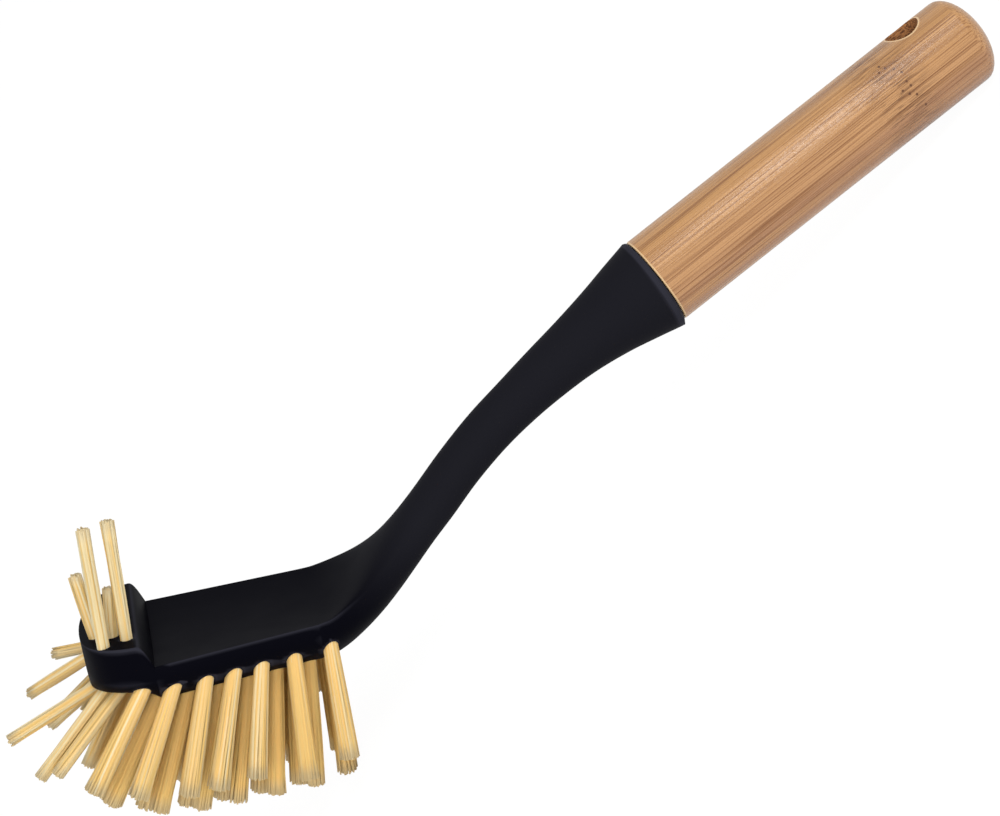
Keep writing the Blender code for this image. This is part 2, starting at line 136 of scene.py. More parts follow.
def linear(colour):
    """An sRGB hex colour as the linear colour that a socket takes."""
    channels = [int(colour[i:i + 2], 16) / 255.0 for i in (1, 3, 5)]
    steep = [c / 12.92 if c <= 0.04045 else ((c + 0.055) / 1.055) ** 2.4 for c in channels]
    return (*steep, 1.0)


def add_node(material, kind, inputs=(), **settings):
    """A shader node with its settings. Each input is a value, or the socket that feeds it."""
    tree = material.node_tree
    node = tree.nodes.new(kind)
    for name, value in settings.items():
        setattr(node, name, value)
    for name, value in dict(inputs).items():
        if isinstance(value, bpy.types.NodeSocket):
            tree.links.new(value, node.inputs[name])
        else:
            node.inputs[name].default_value = value
    return node


def new_material(name):
    """An empty node material and its Principled shader."""
    material = bpy.data.materials.new(name)
    material.use_nodes = True
    return material, material.node_tree.nodes["Principled BSDF"]


def rod_spot(material):
    """The shaded spot in the rod's own frame, with X along it from the collar."""
    spot = add_node(material, "ShaderNodeTexCoord").outputs["Object"]
    return add_node(
        material,
        "ShaderNodeMapping",
        {"Vector": spot, "Location": handle_place.translation, "Rotation": handle_place.to_euler()},
        vector_type="TEXTURE",
    ).outputs["Vector"]


# Varnished bamboo: fibre bundles run the whole length as fine light and brown streaks, over
# painted light and shade: a broad drift from a lighter gold on top to a darker, pinker tan below.
# Near the hang hole a few bundles end as dark flecks, and dots with short tails. The cut rims are
# painted paler, a painted highlight where the cut edges catch the light. The varnish is satin
# over the open pores, so its gloss is grainy. The grain is drawn about twice as coarse as it is,
# to show.
FIBRE = 0.30 * MM
FIBRE_LENGTH = 45.0 * MM
BAND = 2.6 * MM
BAND_LENGTH = 150.0 * MM
BAND_SHARE = 0.75
PAINTED_TOP_LIGHT_START = -8.8 * MM
PAINTED_TOP_LIGHT_END = 9.9 * MM
FLECK = 0.2727 * MM
FLECK_LENGTH = 5.4545 * MM
FLECK_SHARE = 0.75
FLECKS_START = 58.0 * MM
FLECKS_FULL = 69.0 * MM
FLECKS_END = 80.0 * MM
CUT_RIM = 0.5 * MM
CUT_RIM_FULL = 0.25 * MM
HOLE_RIM_HIGHLIGHT_SHARE = 0.7
END_RIM_HIGHLIGHT_SHARE = 0.8
DOT_CORE = 0.225 * MM
DOT_EDGE = 0.435 * MM
DOT_SHARE = 0.95
TAIL_EDGE = 0.39 * MM
TAIL_SHARE = 0.45
TAIL_STRETCH = 0.07
TAIL_SHIFT = 1.6 * MM
GRAIN = 0.42 * MM
GRAIN_LENGTH = 1.3 * MM
GRAIN_RELIEF = 0.09 * MM
VARNISH_SMOOTHEST = 0.23
VARNISH_ROUGHEST = 0.41
BAMBOO_LIT_GOLD = "#A67A49"
BAMBOO_SHADED_TAN = "#9C7253"
BAMBOO_LIGHT_BAND = "#B6895A"
BAMBOO_BROWN_STREAK = "#734720"
BAMBOO_CUT_HIGHLIGHT = "#DCBC8E"
BAMBOO_BUNDLE_END = "#4C2606"

# Dots: millimetres along the rod, and degrees round it, up from the near side.
DOTS = (
    (70.3, 50.0), (71.6, 42.0), (68.6, 50.0), (69.6, 57.0), (72.4, 33.0), (71.9, 21.0),
    (72.1, 14.0), (69.9, 14.5), (72.1, 1.0), (70.8, 7.0), (72.7, -17.0),
)
bamboo, shader = new_material("varnished_bamboo")
along_rod = rod_spot(bamboo)
rod = add_node(bamboo, "ShaderNodeSeparateXYZ", {"Vector": along_rod}).outputs

# Painted light and shade: the rod is painted a lighter gold on top and a darker tan below.
painted_top_light = add_node(
    bamboo,
    "ShaderNodeMapRange",
    {"Value": rod["Z"], "From Min": PAINTED_TOP_LIGHT_START, "From Max": PAINTED_TOP_LIGHT_END},
    interpolation_type="SMOOTHSTEP",
).outputs["Result"]
ground = add_node(
    bamboo,
    "ShaderNodeMix",
    {"Factor": painted_top_light, "A": linear(BAMBOO_SHADED_TAN), "B": linear(BAMBOO_LIT_GOLD)},
    data_type="RGBA",
).outputs["Result"]

band_spot = add_node(
    bamboo,
    "ShaderNodeMapping",
    {"Vector": along_rod, "Scale": (1.0 / BAND_LENGTH, 1.0 / BAND, 1.0 / BAND)},
).outputs["Vector"]
bands = add_node(
    bamboo, "ShaderNodeTexNoise", {"Vector": band_spot, "Scale": 1.0, "Detail": 2.0}
).outputs["Fac"]
band_tone = add_node(
    bamboo,
    "ShaderNodeMapRange",
    {"Value": bands, "From Min": 0.35, "From Max": 0.68, "To Max": BAND_SHARE},
).outputs["Result"]
banded = add_node(
    bamboo,
    "ShaderNodeMix",
    {"Factor": band_tone, "A": ground, "B": linear(BAMBOO_LIGHT_BAND)},
    data_type="RGBA",
).outputs["Result"]

fibre_spot = add_node(
    bamboo,
    "ShaderNodeMapping",
    {"Vector": along_rod, "Scale": (1.0 / FIBRE_LENGTH, 1.0 / FIBRE, 1.0 / FIBRE)},
).outputs["Vector"]
fibres = add_node(
    bamboo,
    "ShaderNodeTexNoise",
    {"Vector": fibre_spot, "Scale": 1.0, "Detail": 4.0, "Roughness": 0.6},
).outputs["Fac"]
streak_tone = add_node(
    bamboo, "ShaderNodeMapRange", {"Value": fibres, "From Min": 0.45, "From Max": 0.66}
).outputs["Result"]
streaked = add_node(
    bamboo,
    "ShaderNodeMix",
    {"Factor": streak_tone, "A": banded, "B": linear(BAMBOO_BROWN_STREAK)},
    data_type="RGBA",
).outputs["Result"]

across_hole = add_node(
    bamboo, "ShaderNodeVectorMath", {0: along_rod, 1: (1.0, 1.0, 0.0)}, operation="MULTIPLY"
).outputs["Vector"]
from_hole = add_node(
    bamboo,
    "ShaderNodeVectorMath",
    {0: across_hole, 1: (HOLE_PLACE, 0.0, 0.0)},
    operation="DISTANCE",
).outputs["Value"]
# The rims round the hang hole and at the near end are painted paler: a painted highlight where the
# cut edges catch the light.
rim_highlight_tone = 0.0
for out, edge, rim_highlight_share in (
    (from_hole, HOLE_RADIUS, HOLE_RIM_HIGHLIGHT_SHARE),
    (rod["X"], HANDLE_START, END_RIM_HIGHLIGHT_SHARE),
):
    rim = add_node(
        bamboo,
        "ShaderNodeMapRange",
        {
            "Value": out,
            "From Min": edge + CUT_RIM_FULL,
            "From Max": edge + CUT_RIM,
            "To Min": rim_highlight_share,
            "To Max": 0.0,
        },
    ).outputs["Result"]
    rim_highlight_tone = add_node(
        bamboo, "ShaderNodeMath", {0: rim_highlight_tone, 1: rim}, operation="MAXIMUM"
    ).outputs["Value"]
rim_highlighted = add_node(
    bamboo,
    "ShaderNodeMix",
    {"Factor": rim_highlight_tone, "A": streaked, "B": linear(BAMBOO_CUT_HIGHLIGHT)},
    data_type="RGBA",
).outputs["Result"]

stretch = Vector((TAIL_STRETCH, 1.0, 1.0))
tail_spot = add_node(
    bamboo, "ShaderNodeVectorMath", {0: along_rod, 1: stretch}, operation="MULTIPLY"
).outputs["Vector"]
near_dot, near_tail = 1.0, 1.0
for along, degrees in DOTS:
    angle = math.radians(degrees)
    dot = Vector((along * MM, -HANDLE_RADIUS * math.cos(angle), HANDLE_RADIUS * math.sin(angle)))
    tail = (dot + Vector((TAIL_SHIFT, 0.0, 0.0))) * stretch
    to_dot = add_node(
        bamboo, "ShaderNodeVectorMath", {0: along_rod, 1: dot}, operation="DISTANCE"
    ).outputs["Value"]
    to_tail = add_node(
        bamboo, "ShaderNodeVectorMath", {0: tail_spot, 1: tail}, operation="DISTANCE"
    ).outputs["Value"]
    near_dot = add_node(
        bamboo, "ShaderNodeMath", {0: near_dot, 1: to_dot}, operation="MINIMUM"
    ).outputs["Value"]
    near_tail = add_node(
        bamboo, "ShaderNodeMath", {0: near_tail, 1: to_tail}, operation="MINIMUM"
    ).outputs["Value"]
dot_tone = add_node(
    bamboo,
    "ShaderNodeMapRange",
    {
        "Value": near_dot,
        "From Min": DOT_CORE,
        "From Max": DOT_EDGE,
        "To Min": DOT_SHARE,
        "To Max": 0.0,
    },
).outputs["Result"]
tail_tone = add_node(
    bamboo,
    "ShaderNodeMapRange",
    {
        "Value": near_tail,
        "From Min": 0.0,
        "From Max": TAIL_EDGE,
        "To Min": TAIL_SHARE,
        "To Max": 0.0,
    },
).outputs["Result"]

fleck_spot = add_node(
    bamboo,
    "ShaderNodeMapping",
    {"Vector": along_rod, "Scale": (1.0 / FLECK_LENGTH, 1.0 / FLECK, 1.0 / FLECK)},
).outputs["Vector"]
flecks = add_node(
    bamboo, "ShaderNodeTexNoise", {"Vector": fleck_spot, "Scale": 1.0, "Detail": 2.0}
).outputs["Fac"]
fleck_tone = add_node(
    bamboo,
    "ShaderNodeMapRange",
    {"Value": flecks, "From Min": 0.50, "From Max": 0.58, "To Max": FLECK_SHARE},
).outputs["Result"]
for start, end, first, last in (
    (FLECKS_START, FLECKS_FULL, 0.0, 1.0),
    (FLECKS_FULL, FLECKS_END, 1.0, 0.0),
):
    zone = add_node(
        bamboo,
        "ShaderNodeMapRange",
        {"Value": rod["X"], "From Min": start, "From Max": end, "To Min": first, "To Max": last},
        interpolation_type="SMOOTHSTEP",
    ).outputs["Result"]
    fleck_tone = add_node(
        bamboo, "ShaderNodeMath", {0: fleck_tone, 1: zone}, operation="MULTIPLY"
    ).outputs["Value"]

mark_tone = fleck_tone
for tone in (dot_tone, tail_tone):
    mark_tone = add_node(
        bamboo, "ShaderNodeMath", {0: mark_tone, 1: tone}, operation="MAXIMUM"
    ).outputs["Value"]
marked = add_node(
    bamboo,
    "ShaderNodeMix",
    {"Factor": mark_tone, "A": rim_highlighted, "B": linear(BAMBOO_BUNDLE_END)},
    data_type="RGBA",
).outputs["Result"]

grain_spot = add_node(
    bamboo,
    "ShaderNodeMapping",
    {"Vector": along_rod, "Scale": (1.0 / GRAIN_LENGTH, 1.0 / GRAIN, 1.0 / GRAIN)},
).outputs["Vector"]
grain = add_node(
    bamboo,
    "ShaderNodeTexNoise",
    {"Vector": grain_spot, "Scale": 1.0, "Detail": 3.0, "Roughness": 0.7},
).outputs["Fac"]
varnish = add_node(
    bamboo,
    "ShaderNodeMapRange",
    {
        "Value": grain,
        "From Min": 0.35,
        "From Max": 0.65,
        "To Min": VARNISH_SMOOTHEST,
        "To Max": VARNISH_ROUGHEST,
    },
).outputs["Result"]
grain_relief = add_node(
    bamboo, "ShaderNodeBump", {"Height": grain, "Strength": 1.0, "Distance": GRAIN_RELIEF}
).outputs["Normal"]
bamboo.node_tree.links.new(marked, shader.inputs["Base Color"])
bamboo.node_tree.links.new(varnish, shader.inputs["Roughness"])
bamboo.node_tree.links.new(grain_relief, shader.inputs["Normal"])
shader.inputs["IOR"].default_value = 1.5

# Drilled bamboo: the hang hole's wall is bare, darker and rough, with the cut bundles as dark
# pores where the wall crosses the fibres.
PORE = 0.30 * MM
PORE_LENGTH = 6.0 * MM
BARE_BAMBOO = "#A87243"
BAMBOO_PORE = "#573218"
drilled_bamboo, shader = new_material("drilled_bamboo")
pore_spot = add_node(
    drilled_bamboo,
    "ShaderNodeMapping",
    {
        "Vector": rod_spot(drilled_bamboo),
        "Scale": (1.0 / PORE_LENGTH, 1.0 / PORE, 1.0 / PORE),
    },
).outputs["Vector"]
pores = add_node(
    drilled_bamboo, "ShaderNodeTexNoise", {"Vector": pore_spot, "Scale": 1.0, "Detail": 2.0}
).outputs["Fac"]
pore_tone = add_node(
    drilled_bamboo, "ShaderNodeMapRange", {"Value": pores, "From Min": 0.42, "From Max": 0.62}
).outputs["Result"]
wall_colour = add_node(
    drilled_bamboo,
    "ShaderNodeMix",
    {"Factor": pore_tone, "A": linear(BARE_BAMBOO), "B": linear(BAMBOO_PORE)},
    data_type="RGBA",
).outputs["Result"]
drilled_bamboo.node_tree.links.new(wall_colour, shader.inputs["Base Color"])
shader.inputs["Roughness"].default_value = 0.8

# The rod's outline from its near end to the tip of its dome is spun once round.
bm = bmesh.new()
outline = [(HANDLE_START, 0.0)]
for i in range(ARC_STEPS + 1):
    turn = math.pi / 2.0 * i / ARC_STEPS
    round_in = HANDLE_EDGE * (1.0 - math.sin(turn))
    outline.append((HANDLE_START + HANDLE_EDGE * (1.0 - math.cos(turn)), HANDLE_RADIUS - round_in))
for i in range(ARC_STEPS + 1):
    turn = math.pi / 2.0 * i / ARC_STEPS
    outline.append((HANDLE_STRAIGHT + HANDLE_DOME * math.sin(turn), HANDLE_RADIUS * math.cos(turn)))
corners = [bm.verts.new((along, 0.0, radius)) for along, radius in outline]
edges = [bm.edges.new(pair) for pair in zip(corners, corners[1:])]
bmesh.ops.spin(
    bm,
    geom=corners + edges,
    cent=(0.0, 0.0, 0.0),
    axis=(1.0, 0.0, 0.0),
    angle=math.tau,
    steps=TURNED_STEPS,
    use_merge=True,
)
bmesh.ops.remove_doubles(bm, verts=bm.verts, dist=WELD)
bmesh.ops.recalc_face_normals(bm, faces=bm.faces)
drills = bmesh.new()
reach = Vector((0.0, 0.0, HANDLE_RADIUS + DRILL_OVERRUN))
hole = Vector((HOLE_PLACE, 0.0, 0.0))
socket_end = Vector((SOCKET_DEPTH, 0.0, 0.0))
add_drill(drills, HOLE_RADIUS, hole - reach, hole + reach, TURNED_STEPS)
add_drill(drills, SOCKET_RADIUS, Vector((0.0, 0.0, 0.0)), socket_end, TURNED_STEPS)
bm = drilled(bm, drills)
mouth = []
for edge in bm.edges:
    middle = (edge.verts[0].co + edge.verts[1].co) / 2.0
    near_hole = (middle.xy - hole.xy).length < HOLE_RADIUS + MOUTH_MARGIN
    if near_hole and edge.calc_face_angle(0.0) > MOUTH_ANGLE:
        mouth.append(edge)
bmesh.ops.bevel(
    bm,
    geom=mouth,
    offset=HOLE_EDGE,
    segments=HOLE_EDGE_STEPS,
    profile=0.5,
    affect="EDGES",
    clamp_overlap=True,
    material=-1,
)
for face in bm.faces:
    middle = face.calc_center_median()
    if (middle.xy - hole.xy).length < HOLE_RADIUS and abs(face.normal.z) < WALL_TILT:
        face.material_index = 1
bmesh.ops.transform(bm, matrix=handle_place, verts=bm.verts)
handle = new_piece("handle_bamboo", bm, bamboo, drilled_bamboo)
handle.data.set_sharp_from_angle(angle=HANDLE_SHARP_ANGLE)
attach(handle, "root")
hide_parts("bamboo_handle")

# Black moulding
# Nose, dished deck, neck and collar are one injection moulding of black polypropylene, with a
# blind hole for each tuft and a tang that is glued into the bamboo.
DECK_START = 15.4 * MM
HEAD_REAR = 52.0 * MM
HALF_WIDTH = 21.6 * MM
REAR_HALF_WIDTH = 19.45 * MM
RIM_HEIGHT = 2.5 * MM
RIM_ROUND = 1.0 * MM
DISH = 1.4 * MM
DEPTH = 11.2 * MM
UNDERSIDE_SHARE = 1.8
NOSE_RISE = 5.4 * MM
NOSE_STEP = 3.0 * MM
NOSE_DROP = 1.4 * MM
NOSE_DROP_SHARE = 4.0
NOSE_LIFT = 4.4 * MM
NOSE_LIFT_SHARE = 5.0
NOSE_ROUND_SHARE = 2.5
NECK_RADIUS = 5.7 * MM
COLLAR_RADIUS = 11.7 * MM
COLLAR_DROP = 0.4 * MM
COLLAR_EDGE = 0.6 * MM
TANG_RADIUS = 6.0 * MM
TANG_LENGTH = 30.0 * MM
TUFT_HOLE_RADIUS = 1.8 * MM
NOSE_HOLE_RADIUS = 1.5 * MM
TUFT_HOLE_DEPTH = 3.5 * MM
TUFT_DRILL_SHARE = 1.6
TUFT_SEAT = 0.3 * MM
RIM_STEPS = 8
DECK_STEPS = 32
UNDERSIDE_STEPS = 48
NOSE_RINGS = 24
STEP_RINGS = 10
DECK_RINGS = 24
NECK_RINGS = 90
DRILL_STEPS = 24
PLACE_DIGITS = 7
MOULDING_SHARP_ANGLE = math.radians(35.0)

# Neck stations from the head to the collar: share of the run and of the rise, half width and
# half height as shares of the neck's radius, and how much of the head's section is left.
NECK_SHARES = (
    (0.033, 0.006, 3.32, 1.20, 0.97),
    (0.065, 0.024, 3.18, 1.18, 0.88),
    (0.103, 0.055, 2.96, 1.12, 0.74),
    (0.147, 0.097, 2.63, 1.05, 0.56),
    (0.196, 0.152, 2.12, 1.01, 0.35),
    (0.245, 0.213, 1.67, 0.97, 0.17),
    (0.299, 0.285, 1.32, 0.95, 0.05),
    (0.358, 0.365, 1.12, 0.97, 0.0),
    (0.434, 0.474, 1.05, 0.98, 0.0),
    (0.520, 0.582, 1.05, 1.01, 0.0),
    (0.606, 0.672, 1.09, 1.05, 0.0),
    (0.692, 0.754, 1.19, 1.15, 0.0),
    (0.778, 0.829, 1.33, 1.29, 0.0),
    (0.864, 0.898, 1.55, 1.53, 0.0),
    (0.940, 0.956, 1.83, 1.82, 0.0),
)


def power(value, exponent):
    """A power that keeps the value's sign."""
    return math.copysign(abs(value) ** exponent, value)


def head_section(half_width, rise, dish, depth):
    """The head's outline across Y and Z: rounded rim, dished top, crowned underside."""
    points = []
    wall = half_width - RIM_ROUND
    for i in range(RIM_STEPS):
        angle = math.pi / 2.0 * i / RIM_STEPS
        up = (RIM_HEIGHT + rise) * math.sin(angle)
        points.append((wall + RIM_ROUND * math.cos(angle), up - RIM_HEIGHT))
    for i in range(DECK_STEPS + 1):
        across = math.cos(math.pi * i / DECK_STEPS)
        points.append((wall * across, rise - dish * (1.0 - across ** 2)))
    points.extend((-y, z) for y, z in reversed(points[:RIM_STEPS]))
    for i in range(1, UNDERSIDE_STEPS):
        angle = math.pi * i / UNDERSIDE_STEPS
        y = -half_width * power(math.cos(angle), 2.0 / UNDERSIDE_SHARE)
        points.append((y, -RIM_HEIGHT - depth * power(math.sin(angle), 2.0 / UNDERSIDE_SHARE)))
    return points


SECTION_POINTS = len(head_section(HALF_WIDTH, 0.0, DISH, DEPTH))


def nose_section(x):
    """The outline of the nose at a distance from its front."""
    reach = (DECK_START - x) / DECK_START
    half_width = HALF_WIDTH * (1.0 - reach ** NOSE_ROUND_SHARE) ** (1.0 / NOSE_ROUND_SHARE)
    step = min((DECK_START - x) / NOSE_STEP, 1.0)
    rise = NOSE_RISE * math.sin(step * math.pi / 2.0) - NOSE_DROP * reach ** NOSE_DROP_SHARE
    depth = DEPTH - NOSE_LIFT * (1.0 - (x / DECK_START) ** NOSE_LIFT_SHARE)
    return head_section(half_width, rise, 0.0, depth)


def disc(centre, up, half_width, half_height):
    """A round section square to a leaning line, its points paired with the head section's."""
    points = []
    for i in range(SECTION_POINTS):
        angle = math.tau * i / SECTION_POINTS
        across = Vector((0.0, half_width * math.cos(angle), 0.0))
        points.append(centre + across + up * half_height * math.sin(angle))
    return points


# The moulding is lofted through rings: nose, the step down to the deck, deck, neck, then the
# collar's face and the tang.
rings = []
for i in range(NOSE_RINGS):
    turn = (NOSE_RINGS - i) / (NOSE_RINGS + 1)
    x = (DECK_START - NOSE_STEP) * (1.0 - math.sin(turn * math.pi / 2.0))
    rings.append([Vector((x, y, z)) for y, z in nose_section(x)])
for i in range(STEP_RINGS):
    x = DECK_START - NOSE_STEP * (1.0 - i / STEP_RINGS)
    rings.append([Vector((x, y, z)) for y, z in nose_section(x)])
for i in range(DECK_RINGS):
    back = i / (DECK_RINGS - 1)
    x = DECK_START + (HEAD_REAR - DECK_START) * back
    half_width = HALF_WIDTH + (REAR_HALF_WIDTH - HALF_WIDTH) * back
    rings.append([Vector((x, y, z)) for y, z in head_section(half_width, 0.0, DISH, DEPTH)])

handle_along = Vector((math.cos(HANDLE_SLOPE), 0.0, math.sin(HANDLE_SLOPE)))
handle_up = Vector((-math.sin(HANDLE_SLOPE), 0.0, math.cos(HANDLE_SLOPE)))
collar = JOINT - handle_up * COLLAR_DROP
foot_height = (DEPTH + RIM_HEIGHT) / 2.0
neck_foot = (HEAD_REAR, -foot_height, REAR_HALF_WIDTH, foot_height, 1.0)
stations = [neck_foot]
for run, rise, wide, high, head_share in NECK_SHARES:
    x = HEAD_REAR + (collar.x - HEAD_REAR) * run
    z = neck_foot[1] + (collar.z - neck_foot[1]) * rise
    stations.append((x, z, NECK_RADIUS * wide, NECK_RADIUS * high, head_share))
stations.append((collar.x, collar.z, COLLAR_RADIUS, COLLAR_RADIUS, 0.0))

# The neck passes smoothly through its stations. Its rings stand upright at the head and turn
# square to its run as they become round.
table = np.array(stations)
slopes = np.gradient(table, axis=0)
rows = []
for place in np.linspace(0.0, len(table) - 1.0, NECK_RINGS):
    k = min(int(place), len(table) - 2)
    t = place - k
    row = table[k] + t * t * (3.0 - 2.0 * t) * (table[k + 1] - table[k])
    rows.append(row + t * (1.0 - t) ** 2 * slopes[k] - t * t * (1.0 - t) * slopes[k + 1])
for before, row, after in zip(rows, rows[1:], [*rows[2:], None]):
    x, z, half_width, half_height, head_share = row
    lean = HANDLE_SLOPE if after is None else math.atan2(after[1] - before[1], after[0] - before[0])
    lean *= 1.0 - head_share ** 2
    up = Vector((-math.sin(lean), 0.0, math.cos(lean)))
    centre = Vector((x, 0.0, z))
    flat = head_section(half_width, 0.0, DISH, 2.0 * half_height - RIM_HEIGHT)
    ring = []
    for round_point, (y, height) in zip(disc(centre, up, half_width, half_height), flat):
        flat_point = centre + Vector((0.0, y, 0.0)) + up * (height + half_height)
        ring.append(round_point.lerp(flat_point, head_share))
    rings.append(ring)
for along, radius in (
    (COLLAR_EDGE, COLLAR_RADIUS - COLLAR_EDGE),
    (COLLAR_EDGE, TANG_RADIUS),
    (COLLAR_EDGE + TANG_LENGTH, TANG_RADIUS),
):
    rings.append(disc(JOINT + handle_along * along, handle_up, radius, radius))

bm = bmesh.new()
loops = []
for ring in rings:
    corners = [bm.verts.new(point) for point in ring]
    loops.append([bm.edges.new((corners[i - 1], corners[i])) for i in range(len(corners))])
for near, far in zip(loops, loops[1:]):
    bmesh.ops.bridge_loops(bm, edges=near + far)
bmesh.ops.holes_fill(bm, edges=[edge for edge in bm.edges if edge.is_boundary], sides=0)
bmesh.ops.recalc_face_normals(bm, faces=bm.faces)


def tuft_axis(name):
    """Where a tuft stands in its hole, which way it points and how long it is.

    A tuft widens towards its tips and its foot is flat. The first round finds the foot by the
    tuft's long direction, and the second by the foot's own normal.
    """
    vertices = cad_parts[name].data.vertices
    spots = np.unique(np.array([v.co for v in vertices]).round(PLACE_DIGITS), axis=0)
    middle = spots.mean(axis=0)
    direction = np.linalg.svd(spots - middle)[2][0]
    for _ in range(2):
        along = (spots - middle) @ direction
        wide = np.linalg.norm(spots - middle - np.outer(along, direction), axis=1)
        if wide[along > 0.0].max() < wide[along < 0.0].max():
            direction, along = -direction, -along
        foot = spots[along < along.min() + TUFT_SEAT]
        normal = np.linalg.svd(foot - foot.mean(axis=0))[2][2]
        direction = normal * np.sign(normal @ direction)
    reach = ((spots - foot.mean(axis=0)) @ direction).max()
    return Vector(foot.mean(axis=0)), Vector(direction).normalized(), reach


def hole_radius(name):
    """The radius of a tuft's hole: those round and on the nose are thinner."""
    return NOSE_HOLE_RADIUS if "fan" in name or "upright" in name else TUFT_HOLE_RADIUS


tufts = {name: tuft_axis(name) for name in sorted(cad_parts) if name.startswith("tuft_")}
bmesh.ops.transform(bm, matrix=resting, verts=bm.verts)
drills = bmesh.new()
for name, (foot, direction, reach) in tufts.items():
    bottom = foot - direction * TUFT_SEAT
    top = bottom + direction * TUFT_HOLE_DEPTH * TUFT_DRILL_SHARE
    add_drill(drills, hole_radius(name), bottom, top, DRILL_STEPS)
bm = drilled(bm, drills)

# Moulded polypropylene, black with a trace of blue: matte, with the faint unevenness of a
# textured mould. Painted light makes it a little lighter on the neck, and a painted highlight
# runs along its edges.
NECK_PAINTED_LIGHT_START = -64.0 * MM
NECK_PAINTED_LIGHT_END = -35.0 * MM
EDGE_START = 0.512
EDGE_FULL = 0.530
EDGE_HIGHLIGHT_SHARE = 0.9
DULLNESS_DRIFT = 9.0 * MM
PLASTIC_SMOOTHEST = 0.46
PLASTIC_ROUGHEST = 0.58
MOULD_GRAIN = 0.25 * MM
MOULD_RELIEF = 0.02 * MM
MOULD_STRENGTH = 0.15
BLACK_HEAD = "#06060C"
BLACK_NECK_PAINTED_LIGHT = "#17171C"
BLACK_EDGE_HIGHLIGHT = "#2A2A32"
black_plastic, shader = new_material("black_polypropylene")
spot = add_node(black_plastic, "ShaderNodeTexCoord").outputs["Object"]
run = add_node(black_plastic, "ShaderNodeSeparateXYZ", {"Vector": spot}).outputs["X"]
# Painted light: the neck is painted lighter than the head, where it catches more of the light.
neck_painted_light = add_node(
    black_plastic,
    "ShaderNodeMapRange",
    {"Value": run, "From Min": NECK_PAINTED_LIGHT_START, "From Max": NECK_PAINTED_LIGHT_END},
    interpolation_type="SMOOTHSTEP",
).outputs["Result"]
plastic_colour = add_node(
    black_plastic,
    "ShaderNodeMix",
    {"Factor": neck_painted_light, "A": linear(BLACK_HEAD), "B": linear(BLACK_NECK_PAINTED_LIGHT)},
    data_type="RGBA",
).outputs["Result"]
# Painted highlight: sharp edges, found by their pointiness, are painted lighter where they catch
# the light.
edge = add_node(black_plastic, "ShaderNodeNewGeometry").outputs["Pointiness"]
edge_highlight_tone = add_node(
    black_plastic,
    "ShaderNodeMapRange",
    {"Value": edge, "From Min": EDGE_START, "From Max": EDGE_FULL, "To Max": EDGE_HIGHLIGHT_SHARE},
).outputs["Result"]
edge_highlighted_colour = add_node(
    black_plastic,
    "ShaderNodeMix",
    {"Factor": edge_highlight_tone, "A": plastic_colour, "B": linear(BLACK_EDGE_HIGHLIGHT)},
    data_type="RGBA",
).outputs["Result"]
drift = add_node(
    black_plastic,
    "ShaderNodeTexNoise",
    {"Vector": spot, "Scale": 1.0 / DULLNESS_DRIFT, "Detail": 3.0},
).outputs["Fac"]
dullness = add_node(
    black_plastic,
    "ShaderNodeMapRange",
    {"Value": drift, "To Min": PLASTIC_SMOOTHEST, "To Max": PLASTIC_ROUGHEST},
).outputs["Result"]
mould = add_node(
    black_plastic, "ShaderNodeTexNoise", {"Vector": spot, "Scale": 1.0 / MOULD_GRAIN, "Detail": 2.0}
).outputs["Fac"]
mould_texture = add_node(
    black_plastic,
    "ShaderNodeBump",
    {"Height": mould, "Strength": MOULD_STRENGTH, "Distance": MOULD_RELIEF},
).outputs["Normal"]
black_plastic.node_tree.links.new(edge_highlighted_colour, shader.inputs["Base Color"])
black_plastic.node_tree.links.new(dullness, shader.inputs["Roughness"])
black_plastic.node_tree.links.new(mould_texture, shader.inputs["Normal"])
shader.inputs["IOR"].default_value = 1.49
shader.inputs["Specular IOR Level"].default_value = 0.01
moulding = new_piece("neck_and_head_moulding", bm, black_plastic)
moulding.data.set_sharp_from_angle(angle=MOULDING_SHARP_ANGLE)
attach(moulding, "root")
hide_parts("moulded_neck_and_head")

# Bristle tufts
# Each tuft is a bundle of straw-coloured fibres, folded double and stapled into its hole, then
# trimmed square. The fibres part a little from each other on their way to the tips. Real ones
# are about 0.2 mm thick, and these are drawn 0.5 mm thick, because finer ones don't show.
FIBRES_PER_TUFT = 100
FIBRES_PER_NOSE_TUFT = 44
FIBRE_RADIUS = 0.25 * MM
FIBRE_SIDES = 5
FIBRE_BENDS = 5
BUNDLE_SHARE = 0.84
TIP_SPREAD_SHARE = 1.42
NOSE_SPREAD_SHARE = 1.12
BOW = 0.12 * MM
STRAY = 0.50 * MM
TRIM = 0.25 * MM
FIBRE_TIP_SHARE = 0.85
OWN_ROUND_SHARE = 0.6
TIP_START = 0.99
TIP_FACING = 1.5
GOLDEN_TURN = math.pi * (3.0 - math.sqrt(5.0))
CHANCE_SEED = 11

# Bristle fibre, a smooth round filament: pale round the nose, straw at the edge rows and a
# lighter amber inside, painted light where the inner tufts lie in the others' shade, each strand a
# little off its tuft's shade and greyer at its cut tip. Some light passes through it.
NOSE_TONE = 0.30
OUTER_TONE = 0.45
INNER_PAINTED_LIGHT_TONE = 0.90
TONE_SPREAD = 0.15
GREY_START = 0.85
GREY_SHARE = 0.6
THROUGH_SHARE = 0.4
BRISTLE_PALE = "#FCF0C8"
BRISTLE_STRAW = "#FAD688"
BRISTLE_AMBER_PAINTED_LIGHT = "#FFD986"
BRISTLE_GREY = "#E9DAB6"
bristle, shader = new_material("straw_bristle")
tone = add_node(bristle, "ShaderNodeAttribute", attribute_name="tone").outputs["Fac"]
height = add_node(bristle, "ShaderNodeAttribute", attribute_name="height").outputs["Fac"]
straw_tone = add_node(
    bristle, "ShaderNodeMapRange", {"Value": tone, "From Min": 0.0, "From Max": 0.5}
).outputs["Result"]
